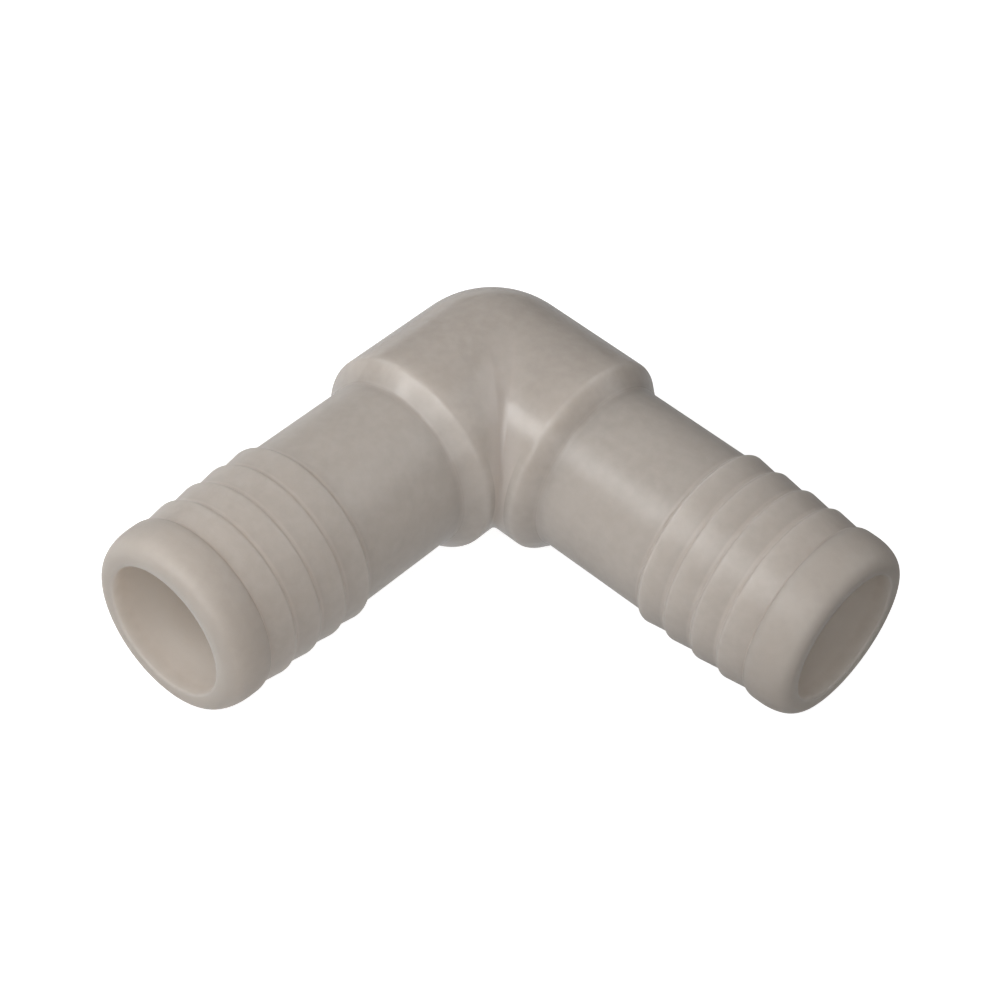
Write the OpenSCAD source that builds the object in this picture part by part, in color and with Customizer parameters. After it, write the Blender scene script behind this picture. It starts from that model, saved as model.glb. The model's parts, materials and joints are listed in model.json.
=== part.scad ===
// 90 degree hose elbow with two identical barbed legs, moulded in one piece.
// The origin is where the two bore axes cross. One leg points along +X and the other along -Y,
// and +Z is square to the plane of the legs. All sizes are in millimetres.

/* [Leg] */
// Outside diameter of the plain shank between the shoulder and the first barb
shank_d = 26; // [24:0.5:32]
// Length of the plain shank
shank_l = 18.8; // [6:0.1:30]
// Diameter of the flow bore
bore_d = 20; // [12:0.5:21]

/* [Hub] */
// How far the hub stands out from the shank, on the radius
hub_step = 2.5; // [1:0.25:5]
// Straight length of the hub past the radius of its ball corner
hub_reach = 2.1; // [0.5:0.1:8]
// Length of the conical shoulder between the hub and the shank
shoulder_l = 2.8; // [1.5:0.1:6]
// Radius that rounds the edge between the hub and its shoulder
hub_edge_r = 1.2; // [0.3:0.1:2]

/* [Barbs] */
// Number of small barbs before the nose
barb_count = 4; // [1:1:8]
// Distance from one barb to the next
barb_pitch = 4.7; // [3:0.1:7]
// Height of every crest over the shank, on the radius
crest_h = 0.8; // [0.5:0.05:1.5]
// Height of the root between two barbs over the shank, on the radius
root_h = 0.25; // [0:0.05:0.4]
// Length of a barb's steep face, which points to the hub and holds the hose on
ramp_l = 0.45; // [0.1:0.05:1]
// Length of the narrow cylindrical land on a barb's crest
land_l = 0.4; // [0.2:0.05:1]

/* [Nose] */
// Length of the long end barb, which starts the hose
nose_l = 7; // [5:0.1:20]
// Length of the nose's rounded rise from the last root to its widest place
nose_rise_l = 1.4; // [0.5:0.1:2]
// Length of the cylindrical land at the nose's widest place
nose_land_l = 1; // [0.5:0.1:2]
// Width of the flat ring on the mouth's end face
lip_w = 0.8; // [0.1:0.05:1.5]
// Chamfer where the bore opens at the mouth
mouth_chamfer = 0.4; // [0.1:0.05:0.5]

/* [Hidden] */
$fn = 96;

// Radii
shank_r = shank_d / 2;
bore_r = bore_d / 2;
hub_r = shank_r + hub_step;
crest_r = shank_r + crest_h;
root_r = shank_r + root_h;
lip_r = bore_r + mouth_chamfer + lip_w;

// Places along a leg, from the crossing of the axes
shoulder_s = hub_r + hub_reach;
shank_s = shoulder_s + shoulder_l;
barb_s = shank_s + shank_l;
nose_s = barb_s + barb_count * barb_pitch;
leg_l = nose_s + nose_l;
nose_fall_s = nose_s + nose_rise_l + nose_land_l;
nose_fall_l = leg_l - nose_fall_s;

// Angle of the shoulder's cone to the leg's axis
shoulder_a = atan2(hub_step, shoulder_l);
// Straight steps that follow each round stretch of the outline
edge_steps = 5;
rise_steps = 5;
fall_steps = 12;
// Powers of the curve that the nose follows down to the lip: higher is squarer, lower is blunter
fall_long_power = 2;
fall_end_power = 0.42;

// Every outline point is [distance from the leg's axis, distance along the leg].

// Rounded edge between the hub and its shoulder, tangent to both
function hub_edge(a) = [
    hub_r - hub_edge_r + hub_edge_r * cos(a),
    shoulder_s - hub_edge_r * tan(shoulder_a / 2) + hub_edge_r * sin(a)
];

// One barb: steep face up to the crest, the land, and the long slope down to the next root
function barb(s) = [
    [crest_r, s + ramp_l],
    [crest_r, s + ramp_l + land_l],
    [root_r, s + barb_pitch]
];

// Quarter-ellipse rise of the nose, from the last root to its widest place
function nose_rise(a) = [
    root_r + (crest_r - root_r) * sin(a),
    nose_s + nose_rise_l * (1 - cos(a))
];

// Fall of the nose to the lip, with the share of its length as t
function nose_fall(t) = [
    lip_r + (crest_r - lip_r) * pow(1 - pow(t, fall_long_power), fall_end_power),
    nose_fall_s + nose_fall_l * t
];

leg_outline = concat(
    [[0, 0], [hub_r, 0]],
    [for (i = [0:edge_steps]) hub_edge(shoulder_a * i / edge_steps)],
    [[shank_r, shank_s], [shank_r, barb_s]],
    [for (i = [0:barb_count - 1]) each barb(barb_s + i * barb_pitch)],
    [for (i = [1:rise_steps]) nose_rise(90 * i / rise_steps)],
    [for (i = [0:fall_steps]) nose_fall(sin(90 * i / fall_steps))],
    [[0, leg_l]]
);

// Puts a shape drawn along +Z on both legs
module on_both_legs() {
    rotate([0, 90, 0]) children();
    rotate([90, 0, 0]) children();
}

// Quarter of a ball that fills the elbow's outer corner between the two leg ends
module corner_ball(r) {
    rotate_extrude(angle = 90, start = 90)
        intersection() {
            circle(r = r);
            translate([0, -r]) square([r, 2 * r]);
        }
}

// Both legs and the corner, without the bore
module elbow_solid() {
    on_both_legs() rotate_extrude() polygon(leg_outline);
    corner_ball(hub_r);
}

// The bent flow passage, with a chamfer at each mouth
module flow_passage() {
    on_both_legs() {
        cylinder(r = bore_r, h = leg_l);
        translate([0, 0, leg_l - mouth_chamfer])
            cylinder(r1 = bore_r, r2 = bore_r + mouth_chamfer, h = mouth_chamfer);
    }
    corner_ball(bore_r);
}

module elbow_body() {
    color([0.65, 0.62, 0.59])
        difference() {
            elbow_solid();
            flow_passage();
        }
}

elbow_body();
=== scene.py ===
import json
import math

import bpy
from mathutils import Matrix, Vector


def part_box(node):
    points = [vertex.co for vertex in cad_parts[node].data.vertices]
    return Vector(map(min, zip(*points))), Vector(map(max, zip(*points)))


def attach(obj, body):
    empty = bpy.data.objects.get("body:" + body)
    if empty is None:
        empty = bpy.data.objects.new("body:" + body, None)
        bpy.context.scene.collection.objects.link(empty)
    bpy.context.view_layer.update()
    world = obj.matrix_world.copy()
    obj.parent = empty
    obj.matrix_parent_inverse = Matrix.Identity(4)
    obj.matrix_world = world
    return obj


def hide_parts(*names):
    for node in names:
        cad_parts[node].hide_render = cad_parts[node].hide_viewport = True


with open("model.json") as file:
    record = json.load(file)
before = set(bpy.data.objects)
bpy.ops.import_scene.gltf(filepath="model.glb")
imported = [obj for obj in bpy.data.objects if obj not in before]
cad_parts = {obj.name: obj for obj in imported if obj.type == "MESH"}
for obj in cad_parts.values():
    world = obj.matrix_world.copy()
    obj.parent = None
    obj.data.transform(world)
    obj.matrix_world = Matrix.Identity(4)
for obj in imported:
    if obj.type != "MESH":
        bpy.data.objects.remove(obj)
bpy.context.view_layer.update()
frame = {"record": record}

# The looks of a one-piece, barbed 90 degree hose elbow in natural nylon.
# Lengths are in metres and angles in degrees, unless a name or comment says otherwise.
# The legs are alike and point along +X and -Y, and the bore axes cross at the origin.

MM = 0.001
NODE = "elbow_body"
MOUNTS = {m["name"]: m["dims"] for m in frame["record"]["mounts"]}
NODE_LOW, NODE_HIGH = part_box(NODE)

# Sizes that come from the frame
LEG = NODE_HIGH.x
HUB_R = NODE_HIGH.z
BORE_R = MOUNTS["bore_a"]["r_mm"] * MM
CREST_R = MOUNTS["spigot_a"]["r_mm"] * MM

# The leg's outline from the hub outwards: an S is a place along the leg, an R is a radius
SHANK_R = HUB_R - 2.5 * MM
ROOT_R = SHANK_R + 0.25 * MM
HUB_PLAIN = 1.2 * MM
SHOULDER_S = HUB_R + 2.1 * MM
SHANK_S = SHOULDER_S + 2.8 * MM
BARB_S = SHANK_S + 18.8 * MM
BARBS = 4
PITCH = 4.7 * MM
RAMP = 0.45 * MM
LAND = 0.4 * MM
NOSE_S = BARB_S + BARBS * PITCH
NOSE_RISE = 1.4 * MM
NOSE_LAND = 1.0 * MM
FALL_S = NOSE_S + NOSE_RISE + NOSE_LAND
FALL_POWER = 0.42
MOUTH_EDGE = 0.4 * MM
LIP_FLAT = 0.8 * MM
LIP_R = BORE_R + MOUTH_EDGE + LIP_FLAT

# Radii that soften the moulding's edges
HUB_EDGE = 1.2 * MM
SHOULDER_FOOT = 1.0 * MM
CREST_EDGE = 0.6 * MM
ROOT_FILLET = 0.7 * MM
CREASE = 0.5 * MM
BORE_CREASE = 0.8 * MM
CREASE_GROWTH = 4.0
CREASE_GROWTH_POWER = 4

# Edge mask: 1 on a crest, -1 in a root, nearer to 0 where the outline turns less, and lowest in the crease.
# Its positive side rubs the crests, and its negative side paints light over the shade of the roots and the
# crease.
CREST = 1.0
ROOT = -1.0
SHOULDER_CREST = 0.5
SHOULDER_ROOT = -0.5
NOSE_CREST = 0.3
CREASE_ROOT = -2.2
CREASE_REACH = 3.0 * MM

# Gloss mask: 1 is glossy and 0 is dull
HUB_GLOSS = 1.0
SHANK_GLOSS = 0.5
BARB_GLOSS = 0.4
DULL_GLOSS = 0.0

# Painted shading mask: painted shade 1 on the nose, more at its lip, and painted light -1 in the bore
NOSE_PAINTED_SHADE = 1.0
LIP_PAINTED_SHADE = 2.2
LIP_REACH = 1.2 * MM
LIP_FADE = 0.5
BORE_PAINTED_LIGHT = -1.0
BORE_LIGHT_STEPS = 2

# Mesh density
ROUND = 192
ARC_STEPS = 4
RISE_STEPS = 8
FALL_STEPS = 24
MOUTH_STEPS = 6
CORNER_STEPS = 28
HUB_STEPS = 10
BORE_STEPS = 26
LONGEST_STEP = 1.6 * MM
GUARD = 0.3 * MM

# Colours (linear) and roughness of the nylon
NYLON = (0.45, 0.405, 0.365)
NYLON_DEEP = (0.42, 0.378, 0.34)
NYLON_PALE = (0.49, 0.445, 0.405)
NYLON_RUBBED = (0.485, 0.44, 0.40)
# Painted light over the shade of the roots and the crease
NYLON_ROOT_PAINTED_LIGHT = (0.60, 0.545, 0.50)
# Painted shade on the noses and their lips
NYLON_PAINTED_SHADE = (0.33, 0.298, 0.268)
# Painted light in the bore
NYLON_BORE_PAINTED_LIGHT = (0.515, 0.475, 0.437)
DULL = 0.46
GLOSSY = 0.22
NYLON_IOR = 1.45
SCATTER_REACH = 12 * MM
SCATTER_TINT = (1.0, 0.94, 0.88)

# Noise patterns, as cells per metre and detail
CLOUDS = (110.0, 4.0)
MOTTLE = (700.0, 3.0)
RUBBING = (420.0, 3.0)
# Noise that breaks up the painted shade on the noses
PAINTED_SHADE_NOISE = (90.0, 2.0)
GLOSS_PATCHES = (60.0, 2.0)
GRAIN = (1500.0, 3.0)

# Noise values between which a pattern goes from nothing to its most
CLOUD_RAMP = (0.3, 0.72)
MOTTLE_RAMP = (0.35, 0.7)

# How strongly each pattern or mask tints, roughens or dents the nylon
MOTTLE_MOST = 0.5
RUBBED_MOST = 0.2
# Strength of the painted light in the roots and the crease
ROOT_PAINTED_LIGHT = 0.35
# Strength of the painted shade on the noses, and the least that its noise leaves of it
PAINTED_SHADE_TINT = 0.52
PAINTED_SHADE_LEAST = 0.6
GLOSS_PATCH = 0.04
GRAIN_STRENGTH = 0.06
GRAIN_DEPTH = 0.2 * MM

# Sockets of the colour mix node
MIX_AMOUNT = 0
MIX_UNDER = 6
MIX_OVER = 7
MIX_RESULT = 2

# Camera: azimuth 0 is along -Y and 90 along +X, and elevation counts from the horizon
MIDDLE = Vector((15.07, -14.85, 0)) * MM
CAMERA_AZIMUTH = 37.99
CAMERA_ELEVATION = 46.64
CAMERA_DISTANCE = 0.39
CAMERA_ROLL = 5.87
CAMERA_LENS_MM = 100.15
CAMERA_SENSOR_MM = 36

# The white sheet under the object, and the glow that it and the room give to everything but the camera
WHITE = (1, 1, 1, 1)
SHEET_R = 1.2
SHEET_SIDES = 96
SHEET_GAP = 0.2 * MM
SHEET_COLOUR = (0.6, 0.6, 0.6, 1)
SHEET_LIFT = 0.8
GLOW_LEFT = 0.9
GLOW_RIGHT = 0.12
GLOW_REACH = 100 * MM
AMBIENT = 0.05

# Soft lights: name, azimuth, elevation, distance and size in metres, and power in watts
LIGHTS = [
    ("front", 44, 35, 1.2, 1.1, 5.9),
    ("above", 0, 50, 0.38, 0.25, 0.6),
    ("left", -50, 35, 0.33, 0.2, 0.17),
    ("key", -36, 40, 0.6, 0.19, 0.5),
    ("side", -90, 30, 1.2, 0.6, 1.7),
    ("back", 150, 40, 1.2, 1.0, 3.3),
]


# Shape: the outline of a leg, and the grid that it makes round both legs and the corner


def corner(s, r, fillet, edge=0.0):
    """One corner of the outline: place along the leg, radius, rounding and edge mask."""
    return Vector((s, r)), fillet, edge


def arc_points(before, here, after, fillet):
    """Points of the arc that rounds a corner, tangent to both sides."""
    to_before = (before - here).normalized()
    to_after = (after - here).normalized()
    half = to_before.angle(to_after) / 2
    reach = fillet / math.tan(half)
    centre = here + (to_before + to_after).normalized() * (fillet / math.sin(half))
    start = here + to_before * reach - centre
    end = here + to_after * reach - centre
    turn = start.angle_signed(end)
    points = []
    for i in range(ARC_STEPS + 1):
        spoke = start.copy()
        spoke.rotate(Matrix.Rotation(-turn * i / ARC_STEPS, 2))
        points.append(centre + spoke)
    return points


def straight_points(start, end):
    """Points inside a straight stretch, with one close to each end so that edges shade crisply."""
    length = (end - start).length
    if length < 3 * GUARD:
        return []
    inner = length - 2 * GUARD
    steps = max(1, math.ceil(inner / LONGEST_STEP))
    return [start.lerp(end, (GUARD + inner * i / steps) / length) for i in range(steps + 1)]


def rounded(corners):
    """The outline's stations (along, radius, edge) with its corners rounded and its straights divided."""
    stations = []
    for i, (here, fillet, edge) in enumerate(corners):
        if fillet and 0 < i < len(corners) - 1:
            arc = arc_points(corners[i - 1][0], here, corners[i + 1][0], fillet)
        else:
            arc = [here]
        if stations:
            last = Vector(stations[-1][:2])
            stations += [(p.x, p.y, 0.0) for p in straight_points(last, arc[0])]
        stations += [(p.x, p.y, edge) for p in arc]
    return stations


def barb(s):
    """Corners of one barb: the steep face that holds the hose, the narrow land and the next root."""
    return [
        corner(s + RAMP, CREST_R, CREST_EDGE, CREST),
        corner(s + RAMP + LAND, CREST_R, CREST_EDGE, CREST),
        corner(s + PITCH, ROOT_R, ROOT_FILLET, ROOT),
    ]


def nose():
    """Stations of the nose, from its rise out of the last root to the lip at the mouth."""
    rise = []
    for i in range(1, RISE_STEPS + 1):
        a = math.pi / 2 * i / RISE_STEPS
        s = NOSE_S + NOSE_RISE * (1 - math.cos(a))
        rise.append((s, ROOT_R + (CREST_R - ROOT_R) * math.sin(a), NOSE_CREST))
    fall = []
    for i in range(FALL_STEPS + 1):
        t = math.sin(math.pi / 2 * i / FALL_STEPS)
        r = LIP_R + (CREST_R - LIP_R) * (1 - t**2) ** FALL_POWER
        fall.append((FALL_S + (LEG - FALL_S) * t, r, 0.0))
    return rise + fall


def leg_stations():
    """Every outside station (along, radius, edge) from the hub's end to the lip."""
    corners = [
        corner(SHOULDER_S - HUB_PLAIN, HUB_R, 0.0),
        corner(SHOULDER_S, HUB_R, HUB_EDGE, SHOULDER_CREST),
        corner(SHANK_S, SHANK_R, SHOULDER_FOOT, SHOULDER_ROOT),
        corner(BARB_S, SHANK_R, ROOT_FILLET, ROOT),
    ]
    for i in range(BARBS):
        corners += barb(BARB_S + i * PITCH)
    return rounded(corners) + nose()


def mouth_stations():
    """Stations (along, radius, painted shade) round the lip, from the flat end face into the bore."""
    centre_s = LEG - MOUTH_EDGE
    centre_r = BORE_R + MOUTH_EDGE
    stations = []
    for i in range(MOUTH_STEPS + 1):
        a = math.pi / 2 * i / MOUTH_STEPS
        # Painted shade on the lip, fading towards the bore
        painted_shading = LIP_PAINTED_SHADE * (1 - LIP_FADE * i / MOUTH_STEPS)
        stations.append((centre_s + MOUTH_EDGE * math.cos(a), centre_r - MOUTH_EDGE * math.sin(a), painted_shading))
    return stations


def bend(angle, r, crease, theta):
    """A point of the elbow's corner at radius r: theta is 0 on the +X leg and a quarter turn on the -Y leg.
    The crease between the legs is tightest in the inner corner and softens towards the top and underside."""
    y = -r * math.cos(angle)
    crease *= 1 + CREASE_GROWTH * math.sin(angle) ** CREASE_GROWTH_POWER
    # The outer side turns about the elbow's axis, at radius y. The inner side would turn inside out there, so
    # its radius runs smoothly into a small one of its own, and that leaves the crease.
    sweep = 0.5 * (y + crease + math.hypot(y - crease, crease))
    centre = sweep - y
    return Vector((centre - sweep * math.sin(theta), sweep * math.cos(theta) - centre, r * math.sin(angle)))


def on_leg_x(angle, s, r):
    """A point of the +X leg: angle 0 is the side that faces -Y, and a quarter turn is the top."""
    return Vector((s, -r * math.cos(angle), r * math.sin(angle)))


def swap_legs(p):
    """Mirrors a point of the +X leg onto the -Y leg."""
    return Vector((-p.y, -p.x, p.z))


def run(angle, r, crease, end_s, steps):
    """Points along a plain stretch of the +X leg, from the corner to just before end_s."""
    start = bend(angle, r, crease, 0.0)
    end = on_leg_x(angle, end_s, r)
    return [start.lerp(end, i / steps) for i in range(steps)]


def gloss_at(s):
    """Gloss mask of the outside at this place along a leg."""
    if s <= SHANK_S:
        return HUB_GLOSS
    if s <= BARB_S:
        return SHANK_GLOSS
    if s <= NOSE_S:
        return BARB_GLOSS
    return DULL_GLOSS


def painted_shade_at(s):
    """Painted shading mask of the outside at this place along a leg: painted shade only on the nose, and the
    most at its lip.
    """
    if s <= NOSE_S:
        return 0.0
    return NOSE_PAINTED_SHADE + (LIP_PAINTED_SHADE - NOSE_PAINTED_SHADE) * max(0.0, 1 - (LEG - s) / LIP_REACH)


def inner_corner(angle, away):
    """Edge mask of the inner corner, where painted light lifts the crease's shade; it fades away from the
    crease.
    """
    return CREASE_ROOT * max(0.0, math.cos(angle)) * max(0.0, 1 - away / CREASE_REACH)


def half_line(angle, outside, mouth):
    """The +X leg's share of a mesh line, as (point, edge, gloss, painted shading): out to the mouth and back
    inside.
    """
    hub_line = run(angle, HUB_R, CREASE, outside[0][0], HUB_STEPS)
    bore_line = run(angle, BORE_R, BORE_CREASE, mouth[-1][0], BORE_STEPS)
    # The hub's stretch carries the crease's painted light, which fades away from the corner
    line = [(p, inner_corner(angle, (p - hub_line[0]).length), HUB_GLOSS, 0.0) for p in hub_line]
    line += [(on_leg_x(angle, s, r), edge, gloss_at(s), painted_shade_at(s)) for s, r, edge in outside]
    line += [(on_leg_x(angle, s, r), 0.0, DULL_GLOSS, painted_shading) for s, r, painted_shading in mouth]
    # Painted light in the bore, at full strength after its first stations
    for i, p in enumerate(reversed(bore_line)):
        line.append((p, 0.0, DULL_GLOSS, BORE_PAINTED_LIGHT * min(1.0, (i + 1) / BORE_LIGHT_STEPS)))
    return line


def ring_line(angle, outside, mouth):
    """One closed line of the mesh at this angle, as (point, edge, gloss, painted shading): the outer corner,
    the -Y leg out and back, the bore's corner, and the +X leg out and back."""
    leg_x = half_line(angle, outside, mouth)
    leg_y = [(swap_legs(p), *masks) for p, *masks in leg_x]
    corner_out = []
    corner_in = []
    for i in range(1, CORNER_STEPS):
        theta = math.pi / 2 * i / CORNER_STEPS
        # The hub's corner carries the crease's painted light on its inner side
        corner_out.append((bend(angle, HUB_R, CREASE, theta), inner_corner(angle, 0.0), HUB_GLOSS, 0.0))
        # The bore's corner carries the bore's painted light
        corner_in.append((bend(angle, BORE_R, BORE_CREASE, theta), 0.0, DULL_GLOSS, BORE_PAINTED_LIGHT))
    return corner_out + leg_y + list(reversed(corner_in)) + list(reversed(leg_x))


def build_moulding():
    """The whole elbow as one closed grid of quads, with its masks as attributes."""
    outside = leg_stations()
    mouth = mouth_stations()
    lines = [ring_line(2 * math.pi * j / ROUND, outside, mouth) for j in range(ROUND)]
    count = len(lines[0])
    vertices = [p for line in lines for p, *masks in line]
    faces = []
    for j in range(ROUND):
        here = j * count
        there = (j + 1) % ROUND * count
        for i in range(count):
            after = (i + 1) % count
            faces.append((here + i, there + i, there + after, here + after))
    mesh = bpy.data.meshes.new("elbow_moulding")
    mesh.from_pydata(vertices, [], faces)
    mesh.validate()
    mesh.polygons.foreach_set("use_smooth", [True] * len(mesh.polygons))
    for k, name in enumerate(("edge", "gloss", "painted_shading")):
        mask = mesh.attributes.new(name, "FLOAT", "POINT")
        mask.data.foreach_set("value", [masks[k] for line in lines for p, *masks in line])
    piece = bpy.data.objects.new("elbow_moulding", mesh)
    bpy.context.scene.collection.objects.link(piece)
    normals = piece.modifiers.new("weighted_normals", "WEIGHTED_NORMAL")
    normals.keep_sharp = False
    return piece


# Material: small helpers for shader nodes, and the nylon


def new_material(name):
    """An empty node material, and its node tree."""
    material = bpy.data.materials.new(name)
    material.use_nodes = True
    material.node_tree.nodes.clear()
    return material, material.node_tree


def node(tree, kind, **values):
    """A shader node with its settings; keys that name an input set that input's value."""
    made = tree.nodes.new(kind)
    for key, value in values.items():
        if hasattr(made, key):
            setattr(made, key, value)
        else:
            made.inputs[key.replace("_", " ")].default_value = value
    return made


def mask_value(tree, name):
    """One of the mesh's masks, as a value."""
    return node(tree, "ShaderNodeAttribute", attribute_name=name).outputs["Fac"]


def noise(tree, scale, detail):
    """Noise that sticks to the object; the scale is in cells per metre."""
    where = node(tree, "ShaderNodeTexCoord")
    made = node(tree, "ShaderNodeTexNoise", Scale=scale, Detail=detail)
    tree.links.new(where.outputs["Object"], made.inputs["Vector"])
    return made.outputs["Fac"]


def spread(tree, value, low, high, from_low=0.0, from_high=1.0):
    """Maps a value to the range low to high, and clamps it there."""
    made = node(tree, "ShaderNodeMapRange")
    made.inputs["From Min"].default_value = from_low
    made.inputs["From Max"].default_value = from_high
    made.inputs["To Min"].default_value = low
    made.inputs["To Max"].default_value = high
    tree.links.new(value, made.inputs["Value"])
    return made.outputs["Result"]


def math_node(tree, operation, first, second):
    """A maths node on two values; each is a socket or a plain number."""
    made = node(tree, "ShaderNodeMath", operation=operation)
    for i, value in enumerate((first, second)):
        if isinstance(value, (int, float)):
            made.inputs[i].default_value = value
        else:
            tree.links.new(value, made.inputs[i])
    return made.outputs["Value"]


def positive(tree, value, factor):
    """A value times a factor, with what comes out negative cut to 0."""
    return math_node(tree, "MAXIMUM", math_node(tree, "MULTIPLY", value, factor), 0.0)


def tint(tree, under, amount, colour):
    """Lays a colour over another by an amount; the one under it may be a socket."""
    made = node(tree, "ShaderNodeMix", data_type="RGBA")
    tree.links.new(amount, made.inputs[MIX_AMOUNT])
    if isinstance(under, tuple):
        made.inputs[MIX_UNDER].default_value = (*under, 1)
    else:
        tree.links.new(under, made.inputs[MIX_UNDER])
    made.inputs[MIX_OVER].default_value = (*colour, 1)
    return made.outputs[MIX_RESULT]


def nylon_colour(tree):
    """Warm grey with clouds and mottling, rubbed on the crests, with painted light in the roots, the crease
    and the bore, and painted shade on the noses and their lips.
    """
    edge = mask_value(tree, "edge")
    painted_shading = mask_value(tree, "painted_shading")
    clouds = spread(tree, noise(tree, *CLOUDS), 0.0, 1.0, *CLOUD_RAMP)
    mottle = spread(tree, noise(tree, *MOTTLE), 0.0, MOTTLE_MOST, *MOTTLE_RAMP)
    rubbing = spread(tree, noise(tree, *RUBBING), 0.0, RUBBED_MOST)
    rubbed = math_node(tree, "MULTIPLY", positive(tree, edge, 1.0), rubbing)
    # Painted light in the roots and the crease, from the edge mask's negative side
    painted_root_light = positive(tree, edge, -ROOT_PAINTED_LIGHT)
    # Painted shade on the noses and their lips, broken up by noise
    painted_shade_variation = spread(tree, noise(tree, *PAINTED_SHADE_NOISE), PAINTED_SHADE_LEAST, 1.0)
    painted_shade = math_node(tree, "MULTIPLY", positive(tree, painted_shading, PAINTED_SHADE_TINT), painted_shade_variation)
    # Painted light in the bore, from the mask's negative side
    painted_bore_light = positive(tree, painted_shading, -1.0)
    colour = tint(tree, NYLON_DEEP, clouds, NYLON)
    colour = tint(tree, colour, mottle, NYLON_PALE)
    colour = tint(tree, colour, rubbed, NYLON_RUBBED)
    # Painted light in the roots and the crease
    colour = tint(tree, colour, painted_root_light, NYLON_ROOT_PAINTED_LIGHT)
    # Painted shade on the noses and their lips
    colour = tint(tree, colour, painted_shade, NYLON_PAINTED_SHADE)
    # Painted light in the bore
    return tint(tree, colour, painted_bore_light, NYLON_BORE_PAINTED_LIGHT)


def nylon():
    """Natural nylon: translucent, glossiest on the hub and dull on the nose, with a fine mould grain."""
    material, tree = new_material("natural_nylon")
    patches = spread(tree, noise(tree, *GLOSS_PATCHES), -GLOSS_PATCH, GLOSS_PATCH)
    roughness = math_node(tree, "ADD", spread(tree, mask_value(tree, "gloss"), DULL, GLOSSY), patches)
    bump = node(tree, "ShaderNodeBump", Strength=GRAIN_STRENGTH, Distance=GRAIN_DEPTH)
    tree.links.new(noise(tree, *GRAIN), bump.inputs["Height"])

    surface = node(tree, "ShaderNodeBsdfPrincipled", IOR=NYLON_IOR)
    surface.inputs["Subsurface Weight"].default_value = 1.0
    surface.inputs["Subsurface Radius"].default_value = SCATTER_TINT
    surface.inputs["Subsurface Scale"].default_value = SCATTER_REACH
    tree.links.new(nylon_colour(tree), surface.inputs["Base Color"])
    tree.links.new(roughness, surface.inputs["Roughness"])
    tree.links.new(bump.outputs["Normal"], surface.inputs["Normal"])
    output = node(tree, "ShaderNodeOutputMaterial")
    tree.links.new(surface.outputs["BSDF"], output.inputs["Surface"])
    return material


# Studio: the white sheet, the lights, the room and the camera


def heading(azimuth, elevation):
    """Unit vector from the object, in the camera's terms for azimuth and elevation."""
    a = math.radians(azimuth)
    e = math.radians(elevation)
    return Vector((math.sin(a) * math.cos(e), -math.cos(a) * math.cos(e), math.sin(e)))


def aim(thing, target, roll=0.0):
    """Turns a light or camera to look at a point, with +Z up before the roll."""
    look = (target - thing.location).to_track_quat("-Z", "Y").to_matrix()
    thing.rotation_euler = (look @ Matrix.Rotation(math.radians(roll), 3, "Z")).to_euler()


def paper():
    """White paper to the camera, and to everything else a soft glow that fades from its left to its right."""
    material, tree = new_material("studio_paper")
    diffuse = node(tree, "ShaderNodeBsdfDiffuse", Color=SHEET_COLOUR)
    lift = node(tree, "ShaderNodeEmission", Color=WHITE, Strength=SHEET_LIFT)
    seen = node(tree, "ShaderNodeAddShader")
    tree.links.new(diffuse.outputs["BSDF"], seen.inputs[0])
    tree.links.new(lift.outputs["Emission"], seen.inputs[1])
    glow = node(tree, "ShaderNodeEmission", Color=WHITE)
    place = node(tree, "ShaderNodeNewGeometry").outputs["Position"]
    across = node(tree, "ShaderNodeVectorMath", operation="DOT_PRODUCT")
    across.inputs[1].default_value = heading(CAMERA_AZIMUTH + 90, 0)
    tree.links.new(place, across.inputs[0])
    fade = spread(tree, across.outputs["Value"], GLOW_LEFT, GLOW_RIGHT, -GLOW_REACH, GLOW_REACH)
    tree.links.new(fade, glow.inputs["Strength"])
    path = node(tree, "ShaderNodeLightPath")
    choice = node(tree, "ShaderNodeMixShader")
    tree.links.new(path.outputs["Is Camera Ray"], choice.inputs["Fac"])
    tree.links.new(glow.outputs["Emission"], choice.inputs[1])
    tree.links.new(seen.outputs["Shader"], choice.inputs[2])
    output = node(tree, "ShaderNodeOutputMaterial")
    tree.links.new(choice.outputs["Shader"], output.inputs["Surface"])
    return material


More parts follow.
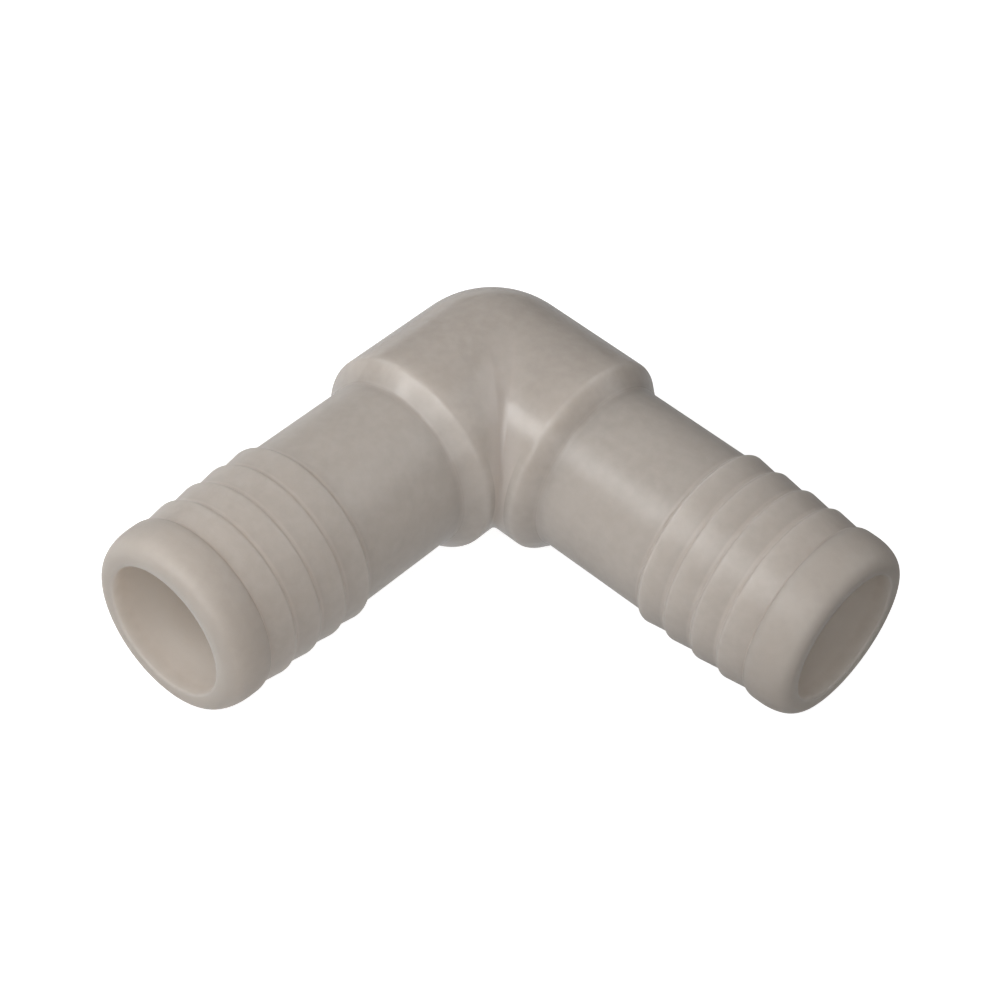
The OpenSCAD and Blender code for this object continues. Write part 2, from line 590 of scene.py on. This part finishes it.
def build_floor():
    """A round sheet under the object, larger than the camera's view of it."""
    mesh = bpy.data.meshes.new("studio_floor")
    turns = [2 * math.pi * i / SHEET_SIDES for i in range(SHEET_SIDES)]
    rim = [(SHEET_R * math.cos(a), SHEET_R * math.sin(a), 0) for a in turns]
    mesh.from_pydata(rim, [], [tuple(range(SHEET_SIDES))])
    floor = bpy.data.objects.new("studio_floor", mesh)
    floor.location = (0, 0, NODE_LOW.z - SHEET_GAP)
    mesh.materials.append(paper())
    bpy.context.scene.collection.objects.link(floor)


def soft_light(name, azimuth, elevation, distance, size, power):
    """A round area light that looks at the object."""
    data = bpy.data.lights.new(name, "AREA")
    data.shape = "DISK"
    data.size = size
    data.energy = power
    lamp = bpy.data.objects.new(name, data)
    lamp.location = heading(azimuth, elevation) * distance
    bpy.context.scene.collection.objects.link(lamp)
    aim(lamp, MIDDLE)


def build_room():
    """A white backdrop to the camera, and a faint even light to everything else."""
    world = bpy.data.worlds.new("studio_room")
    world.use_nodes = True
    tree = world.node_tree
    background = tree.nodes["Background"]
    path = node(tree, "ShaderNodeLightPath")
    strength = spread(tree, path.outputs["Is Camera Ray"], AMBIENT, 1.0)
    tree.links.new(strength, background.inputs["Strength"])
    background.inputs["Color"].default_value = WHITE
    bpy.context.scene.world = world
    bpy.context.scene.view_settings.view_transform = "Standard"


def build_camera():
    """The photo's view: down the open side of the elbow, with a long lens, turned a little."""
    data = bpy.data.cameras.new("photo_camera")
    data.sensor_width = CAMERA_SENSOR_MM
    data.lens = CAMERA_LENS_MM
    camera = bpy.data.objects.new("photo_camera", data)
    camera.location = MIDDLE + heading(CAMERA_AZIMUTH, CAMERA_ELEVATION) * CAMERA_DISTANCE
    bpy.context.scene.collection.objects.link(camera)
    aim(camera, MIDDLE, CAMERA_ROLL)
    bpy.context.scene.camera = camera


# The object, then its studio
moulding = build_moulding()
moulding.data.materials.append(nylon())
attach(moulding, "root")
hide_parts(NODE)

build_floor()
for light in LIGHTS:
    soft_light(*light)
build_room()
build_camera()
